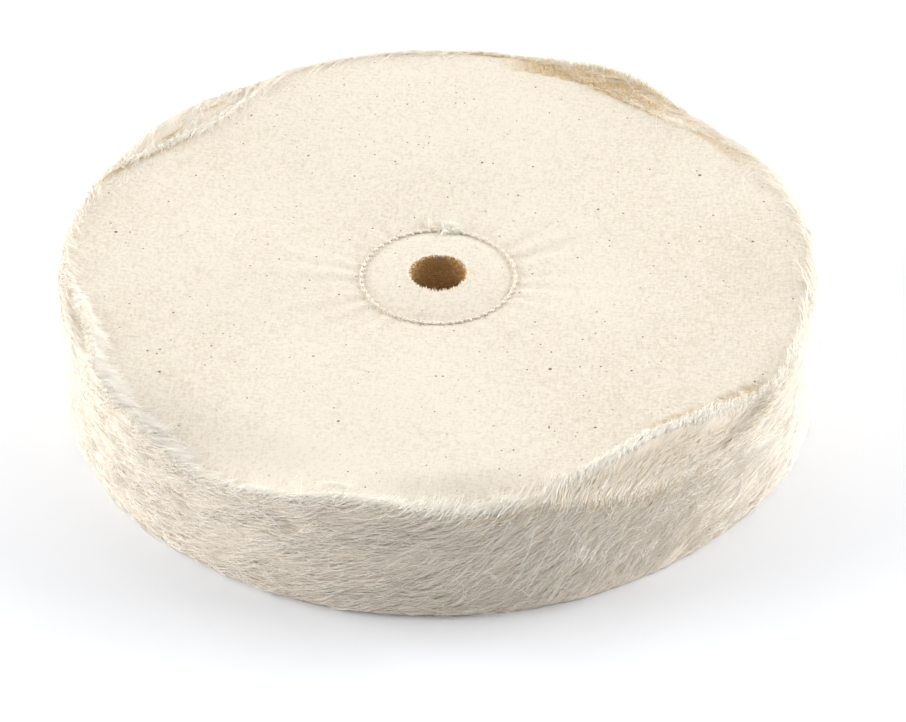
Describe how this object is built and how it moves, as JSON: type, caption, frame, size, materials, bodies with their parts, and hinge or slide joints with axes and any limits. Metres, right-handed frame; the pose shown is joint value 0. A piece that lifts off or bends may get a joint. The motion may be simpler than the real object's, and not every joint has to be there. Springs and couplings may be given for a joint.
{
  "type": "loose-leaf cotton polishing wheel",
  "caption": "Round polishing wheel of loose calico leaves, stitched in one ring round a central arbor hole, with a frayed rim.",
  "frame": {"origin": "on the axis of the arbor hole, at the level the wheel lies on", "axes": "+Z along the arbor hole, out of the top face; +X to the right and +Y to the back of the wheel as it lies"},
  "size_m": [0.2, 0.2, 0.036],
  "materials": {
    "calico": "unbleached plain-weave cotton, matt, with dark seed specks",
    "stitch_thread": "twisted cotton thread, matt"
  },
  "bodies": {
    "root": {"leaf_01": "calico", "leaf_02": "calico", "leaf_03": "calico", "leaf_04": "calico", "leaf_05": "calico", "leaf_06": "calico", "leaf_07": "calico", "leaf_08": "calico", "leaf_09": "calico", "leaf_10": "calico", "leaf_11": "calico", "leaf_12": "calico", "leaf_13": "calico", "leaf_14": "calico", "leaf_15": "calico", "leaf_16": "calico", "leaf_17": "calico", "leaf_18": "calico", "leaf_19": "calico", "leaf_20": "calico", "leaf_21": "calico", "leaf_22": "calico", "leaf_23": "calico", "leaf_24": "calico", "leaf_25": "calico", "leaf_26": "calico", "leaf_27": "calico", "leaf_28": "calico", "leaf_29": "calico", "leaf_30": "calico", "leaf_31": "calico", "leaf_32": "calico", "leaf_33": "calico", "leaf_34": "calico", "leaf_35": "calico", "leaf_36": "calico", "leaf_37": "calico", "leaf_38": "calico", "leaf_39": "calico", "leaf_40": "calico", "leaf_41": "calico", "leaf_42": "calico", "leaf_43": "calico", "leaf_44": "calico", "leaf_45": "calico", "leaf_46": "calico", "leaf_47": "calico", "leaf_48": "calico", "leaf_49": "calico", "leaf_50": "calico", "needle_thread": "stitch_thread", "bobbin_thread": "stitch_thread"}
  },
  "joints": []
}
